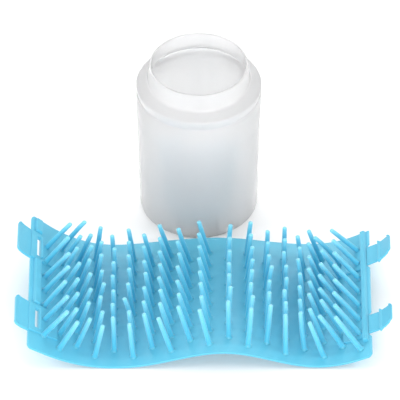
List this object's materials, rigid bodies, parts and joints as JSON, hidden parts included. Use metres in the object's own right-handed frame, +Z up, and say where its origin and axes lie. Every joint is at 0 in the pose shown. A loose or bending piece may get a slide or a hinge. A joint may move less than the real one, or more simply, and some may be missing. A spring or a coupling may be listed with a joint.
{
  "type": "paw washer cup",
  "caption": "Frosted plastic cup with a narrowed neck, and a soft silicone bristle mat that rolls up to line it and latches with barbed tongues.",
  "frame": {"origin": "centre of the cup's flat base", "axes": "+X to the right along the mat, +Y from the mat towards the cup, +Z up out of the cup's mouth"},
  "size_m": [0.2699, 0.2223, 0.13],
  "materials": {
    "frosted_plastic": "translucent frosted polypropylene, satin",
    "silicone": "satin moulded silicone"
  },
  "bodies": {
    "cup": {"cup": "frosted_plastic"},
    "strip_01": {"mat_strip_01": "silicone"},
    "strip_02": {"mat_strip_02": "silicone"},
    "strip_03": {"mat_strip_03": "silicone"},
    "strip_04": {"mat_strip_04": "silicone"},
    "strip_05": {"mat_strip_05": "silicone"},
    "strip_06": {"mat_strip_06": "silicone"},
    "strip_07": {"mat_strip_07": "silicone"},
    "strip_08": {"mat_strip_08": "silicone"},
    "strip_09": {"mat_strip_09": "silicone"},
    "strip_10": {"mat_strip_10": "silicone"},
    "strip_11": {"mat_strip_11": "silicone"},
    "strip_12": {"mat_strip_12": "silicone"},
    "strip_13": {"mat_strip_13": "silicone"},
    "strip_14": {"mat_strip_14": "silicone"},
    "strip_15": {"mat_strip_15": "silicone"},
    "strip_16": {"mat_strip_16": "silicone"},
    "strip_17": {"mat_strip_17": "silicone"},
    "strip_18": {"mat_strip_18": "silicone"},
    "tab_back": {"tab_back": "silicone"},
    "tab_front": {"tab_front": "silicone"},
    "tongue_back": {"tongue_back": "silicone"},
    "tongue_front": {"tongue_front": "silicone"}
  },
  "joints": [
    {"name": "mat_lift", "type": "slide", "parent": "cup", "child": "strip_05", "axis": [0, 0, 1], "range_m": [0, 0.15]},
    {"name": "bend_01_02", "type": "hinge", "parent": "strip_02", "child": "strip_01", "pos_m": [-0.10526, -0.11405, 0.015], "axis": [0, 1, 0], "range_deg": [0, 10.89], "stiffness_Nm_per_rad": 0.011},
    {"name": "bend_02_03", "type": "hinge", "parent": "strip_03", "child": "strip_02", "pos_m": [-0.09314, -0.11405, 0.00871], "axis": [0, 1, 0], "range_deg": [0, 9.48], "stiffness_Nm_per_rad": 0.011},
    {"name": "bend_03_04", "type": "hinge", "parent": "strip_04", "child": "strip_03", "pos_m": [-0.08027, -0.11405, 0.00418], "axis": [0, 1, 0], "range_deg": [0, 8.2], "stiffness_Nm_per_rad": 0.011},
    {"name": "bend_04_05", "type": "hinge", "parent": "strip_05", "child": "strip_04", "pos_m": [-0.06683, -0.11405, 0.0018], "axis": [0, 1, 0], "range_deg": [0, 7.48], "stiffness_Nm_per_rad": 0.011},
    {"name": "mat_roll", "type": "hinge", "parent": "strip_05", "child": "strip_06", "pos_m": [-0.05318, -0.11405, 0.0018], "axis": [0, -1, 0], "range_deg": [0, 10.41], "stiffness_Nm_per_rad": 0.011},
    {"name": "bend_06_07", "type": "hinge", "parent": "strip_06", "child": "strip_07", "pos_m": [-0.03963, -0.11405, 0.00349], "axis": [0, -1, 0], "range_deg": [0, 13.58], "stiffness_Nm_per_rad": 0.011},
    {"name": "bend_07_08", "type": "hinge", "parent": "strip_07", "child": "strip_08", "pos_m": [-0.02623, -0.11405, 0.0061], "axis": [0, -1, 0], "range_deg": [0, 16.54], "stiffness_Nm_per_rad": 0.011},
    {"name": "bend_08_09", "type": "hinge", "parent": "strip_08", "child": "strip_09", "pos_m": [-0.01288, -0.11405, 0.00894], "axis": [0, -1, 0], "range_deg": [0, 19.36], "stiffness_Nm_per_rad": 0.011},
    {"name": "bend_09_10", "type": "hinge", "parent": "strip_09", "child": "strip_10", "pos_m": [0.00055, -0.11405, 0.01136], "axis": [0, -1, 0], "range_deg": [0, 22.31], "stiffness_Nm_per_rad": 0.011},
    {"name": "bend_10_11", "type": "hinge", "parent": "strip_10", "child": "strip_11", "pos_m": [0.01414, -0.11405, 0.01265], "axis": [0, -1, 0], "range_deg": [0, 25.9], "stiffness_Nm_per_rad": 0.011},
    {"name": "bend_11_12", "type": "hinge", "parent": "strip_11", "child": "strip_12", "pos_m": [0.02777, -0.11405, 0.01195], "axis": [0, -1, 0], "range_deg": [0, 25.05], "stiffness_Nm_per_rad": 0.011},
    {"name": "bend_12_13", "type": "hinge", "parent": "strip_12", "child": "strip_13", "pos_m": [0.0412, -0.11405, 0.00947], "axis": [0, -1, 0], "range_deg": [0, 20.28], "stiffness_Nm_per_rad": 0.011},
    {"name": "bend_13_14", "type": "hinge", "parent": "strip_13", "child": "strip_14", "pos_m": [0.05449, -0.11405, 0.00635], "axis": [0, -1, 0], "range_deg": [0, 15.92], "stiffness_Nm_per_rad": 0.011},
    {"name": "bend_14_15", "type": "hinge", "parent": "strip_14", "child": "strip_15", "pos_m": [0.06786, -0.11405, 0.00361], "axis": [0, -1, 0], "range_deg": [0, 11.43], "stiffness_Nm_per_rad": 0.011},
    {"name": "bend_15_16", "type": "hinge", "parent": "strip_15", "child": "strip_16", "pos_m": [0.08144, -0.11405, 0.0023], "axis": [0, -1, 0], "range_deg": [0, 6.64], "stiffness_Nm_per_rad": 0.011},
    {"name": "bend_16_17", "type": "hinge", "parent": "strip_16", "child": "strip_17", "pos_m": [0.09503, -0.11405, 0.00358], "axis": [0, -1, 0], "range_deg": [0, 5.93], "stiffness_Nm_per_rad": 0.011},
    {"name": "bend_17_18", "type": "hinge", "parent": "strip_17", "child": "strip_18", "pos_m": [0.10809, -0.11405, 0.00757], "axis": [0, -1, 0], "range_deg": [0, 7.57], "stiffness_Nm_per_rad": 0.011},
    {"name": "tab_back_flex", "type": "hinge", "parent": "strip_01", "child": "tab_back", "pos_m": [-0.12234, -0.0778, 0.02655], "axis": [0, 1, 0], "range_deg": [-25, 35], "stiffness_Nm_per_rad": 0.005},
    {"name": "tab_front_flex", "type": "hinge", "parent": "strip_01", "child": "tab_front", "pos_m": [-0.12234, -0.1468, 0.02655], "axis": [0, 1, 0], "range_deg": [-25, 35], "stiffness_Nm_per_rad": 0.005},
    {"name": "tongue_back_flex", "type": "hinge", "parent": "strip_18", "child": "tongue_back", "pos_m": [0.11997, -0.0778, 0.0136], "axis": [0, -1, 0], "range_deg": [-25, 30], "stiffness_Nm_per_rad": 0.002},
    {"name": "tongue_front_flex", "type": "hinge", "parent": "strip_18", "child": "tongue_front", "pos_m": [0.11997, -0.1468, 0.0136], "axis": [0, -1, 0], "range_deg": [-25, 30], "stiffness_Nm_per_rad": 0.002}
  ],
  "couplings": [
    {"joint": "bend_01_02", "follows": "mat_roll", "ratio": 1.043},
    {"joint": "bend_02_03", "follows": "mat_roll", "ratio": 0.908},
    {"joint": "bend_03_04", "follows": "mat_roll", "ratio": 0.7849},
    {"joint": "bend_04_05", "follows": "mat_roll", "ratio": 0.7156},
    {"joint": "bend_06_07", "follows": "mat_roll", "ratio": 1.3021},
    {"joint": "bend_07_08", "follows": "mat_roll", "ratio": 1.5855},
    {"joint": "bend_08_09", "follows": "mat_roll", "ratio": 1.857},
    {"joint": "bend_09_10", "follows": "mat_roll", "ratio": 2.1401},
    {"joint": "bend_10_11", "follows": "mat_roll", "ratio": 2.4847},
    {"joint": "bend_11_12", "follows": "mat_roll", "ratio": 2.403},
    {"joint": "bend_12_13", "follows": "mat_roll", "ratio": 1.9457},
    {"joint": "bend_13_14", "follows": "mat_roll", "ratio": 1.5267},
    {"joint": "bend_14_15", "follows": "mat_roll", "ratio": 1.0948},
    {"joint": "bend_15_16", "follows": "mat_roll", "ratio": 0.6353},
    {"joint": "bend_16_17", "follows": "mat_roll", "ratio": 0.5672},
    {"joint": "bend_17_18", "follows": "mat_roll", "ratio": 0.7246}
  ]
}
